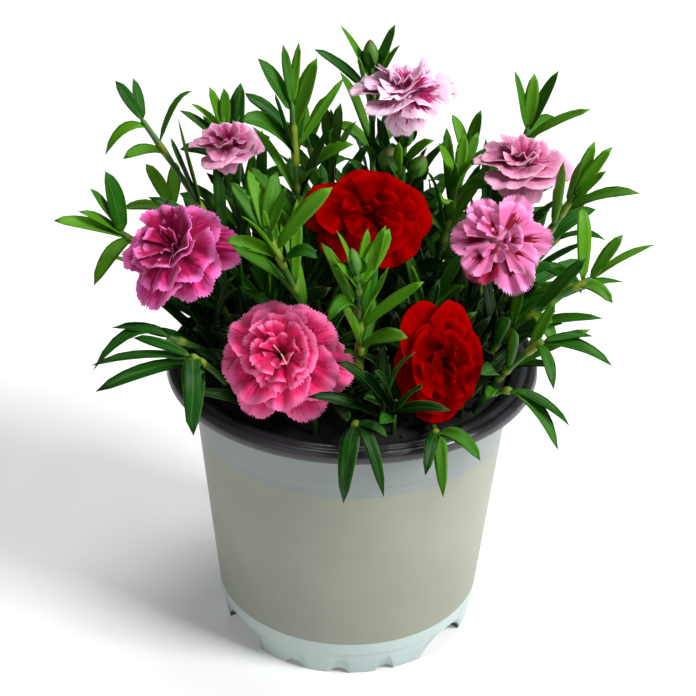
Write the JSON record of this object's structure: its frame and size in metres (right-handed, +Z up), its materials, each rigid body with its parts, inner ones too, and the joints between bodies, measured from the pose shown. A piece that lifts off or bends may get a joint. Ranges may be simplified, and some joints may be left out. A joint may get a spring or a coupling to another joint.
{
  "type": "potted dianthus plant",
  "caption": "Dianthus in a round thermoformed pot: upright leafy shoots in soil, double pink, blush and red blooms with toothed petals, green buds and narrow channelled leaves.",
  "frame": {"origin": "on the pot's axis, on the surface that the pot stands on", "axes": "+Z up; -Y is the front, where the shoots hang over the rim; +X is to the right seen from the front"},
  "size_m": [0.2, 0.148, 0.216],
  "materials": {
    "pot": "thin white thermoformed plastic, charcoal inside and on the rim",
    "soil": "dark moist peat compost",
    "leaf": "smooth green leaf with a waxy bloom",
    "petal_rose": "rose pink petal with crimson streaks",
    "petal_magenta": "magenta petal with a crimson middle",
    "petal_blush": "light pink petal with dark throat marks",
    "petal_cream": "very pale pink petal with magenta streaks",
    "petal_lilac": "pale pink petal",
    "petal_pink": "pink petal with dark crimson blotches",
    "petal_scarlet": "deep red velvety petal",
    "petal_crimson": "deep red velvety petal"
  },
  "bodies": {
    "root": {"pot": "pot", "soil": "soil", "stem_blush": "leaf", "stem_cream": "leaf", "stem_crimson": "leaf", "stem_lilac": "leaf", "stem_magenta": "leaf", "stem_pink": "leaf", "stem_rose": "leaf", "stem_scarlet": "leaf", "shoot_back": "leaf", "shoot_back_left": "leaf", "shoot_back_right": "leaf", "shoot_bud_high": "leaf", "shoot_bud_mid": "leaf", "shoot_crown": "leaf", "shoot_crown_back": "leaf", "shoot_fill_back_left": "leaf", "shoot_fill_back_right": "leaf", "shoot_fill_far_left": "leaf", "shoot_fill_left": "leaf", "shoot_fill_right": "leaf", "shoot_front": "leaf", "shoot_left": "leaf", "shoot_left_low": "leaf", "shoot_left_tall": "leaf", "shoot_mid_left": "leaf", "shoot_mid_right": "leaf", "shoot_right": "leaf", "shoot_right_high": "leaf", "shoot_right_low": "leaf", "shoot_right_tall": "leaf", "shoot_rim_front": "leaf", "shoot_rim_left": "leaf", "shoot_rim_mid": "leaf", "shoot_rim_right": "leaf", "shoot_side_left": "leaf", "shoot_side_right": "leaf", "bloom_blush": "petal_blush", "bloom_cream": "petal_cream", "bloom_crimson": "petal_crimson", "bloom_lilac": "petal_lilac", "bloom_magenta": "petal_magenta", "bloom_pink": "petal_pink", "bloom_rose": "petal_rose", "bloom_scarlet": "petal_scarlet"}
  },
  "joints": []
}
